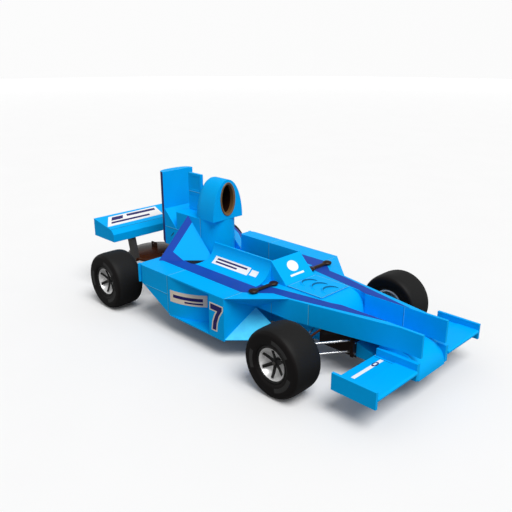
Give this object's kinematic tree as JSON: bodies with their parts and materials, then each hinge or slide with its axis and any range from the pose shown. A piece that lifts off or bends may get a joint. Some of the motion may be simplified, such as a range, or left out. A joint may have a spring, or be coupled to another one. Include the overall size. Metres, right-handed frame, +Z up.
{
  "type": "open wheel racing car",
  "caption": "Single-seat open wheel racing car with flat-panel body, open cockpit, airbox, fin, front and rear wings and steered front wheels.",
  "frame": {"origin": "on the floor under the middle of the car's length and width", "axes": "+X forward, +Y to the driver's left, +Z up"},
  "size_m": [4.4329, 2.14, 1.55],
  "materials": {
    "body_blue": "semi-gloss sky-blue paint",
    "body_navy": "semi-gloss navy paint",
    "chassis_black": "satin black",
    "cast_grey": "cast and machined grey metal",
    "housing_brown": "glossy dark copper brown",
    "arm_silver": "bright plated steel tube",
    "tyre_black": "slick racing tyre rubber",
    "rim_silver": "polished aluminium barrel with dark spokes"
  },
  "bodies": {
    "chassis": {"tub": "body_blue", "floor_pan": "body_blue", "sidepod_right": "body_blue", "sidepod_left": "body_blue", "cockpit_surround": "body_blue", "cowl": "body_blue", "louvre_panel": "body_blue", "nose_beam_right": "body_blue", "nose_beam_left": "body_blue", "nose_floor": "body_blue", "nose_fairings": "body_blue", "front_bulkhead": "chassis_black", "front_wing": "body_blue", "front_flaps": "body_blue", "front_endplates": "body_blue", "front_fences": "body_blue", "engine_deck": "body_blue", "engine_cover": "body_blue", "airbox": "body_blue", "fin": "body_blue", "tail_blade": "body_navy", "buttresses": "body_blue", "rear_wing": "body_blue", "wing_struts": "cast_grey", "gearbox": "chassis_black", "tail_housing": "housing_brown", "engine_block": "cast_grey", "mirrors": "housing_brown", "driver_seat": "chassis_black", "front_wishbones": "arm_silver", "rear_wishbones": "arm_silver", "rear_uprights": "cast_grey"},
    "left_knuckle": {"knuckle_left": "cast_grey"},
    "right_knuckle": {"knuckle_right": "cast_grey"},
    "steering": {"steering_wheel": "chassis_black"},
    "front_left_wheel": {"tyre_front_left": "tyre_black", "rim_front_left": "rim_silver"},
    "front_right_wheel": {"tyre_front_right": "tyre_black", "rim_front_right": "rim_silver"},
    "rear_left_wheel": {"tyre_rear_left": "tyre_black", "rim_rear_left": "rim_silver", "axle_shaft_left": "arm_silver"},
    "rear_right_wheel": {"tyre_rear_right": "tyre_black", "rim_rear_right": "rim_silver", "axle_shaft_right": "arm_silver"}
  },
  "joints": [
    {"name": "steer_left", "type": "hinge", "parent": "chassis", "child": "left_knuckle", "pos_m": [1.2375, 0.69, 0.33], "axis": [0, 0, 1], "range_deg": [-18, 18]},
    {"name": "steer_right", "type": "hinge", "parent": "chassis", "child": "right_knuckle", "pos_m": [1.2375, -0.69, 0.33], "axis": [0, 0, 1], "range_deg": [-18, 18]},
    {"name": "steer_wheel", "type": "hinge", "parent": "chassis", "child": "steering", "pos_m": [0.2955, 0, 0.69], "axis": [-1, 0, 0], "range_deg": [-162, 162]},
    {"name": "roll_front_left", "type": "hinge", "parent": "left_knuckle", "child": "front_left_wheel", "pos_m": [1.2375, 0.9, 0.33], "axis": [0, 1, 0], "continuous": true},
    {"name": "roll_front_right", "type": "hinge", "parent": "right_knuckle", "child": "front_right_wheel", "pos_m": [1.2375, -0.9, 0.33], "axis": [0, 1, 0], "continuous": true},
    {"name": "roll_rear_left", "type": "hinge", "parent": "chassis", "child": "rear_left_wheel", "pos_m": [-1.4905, 0.848, 0.33], "axis": [0, 1, 0], "continuous": true},
    {"name": "roll_rear_right", "type": "hinge", "parent": "chassis", "child": "rear_right_wheel", "pos_m": [-1.4905, -0.848, 0.33], "axis": [0, 1, 0], "continuous": true}
  ],
  "couplings": [
    {"joint": "steer_right", "follows": "steer_left", "ratio": 1},
    {"joint": "steer_wheel", "follows": "steer_left", "ratio": 9}
  ]
}
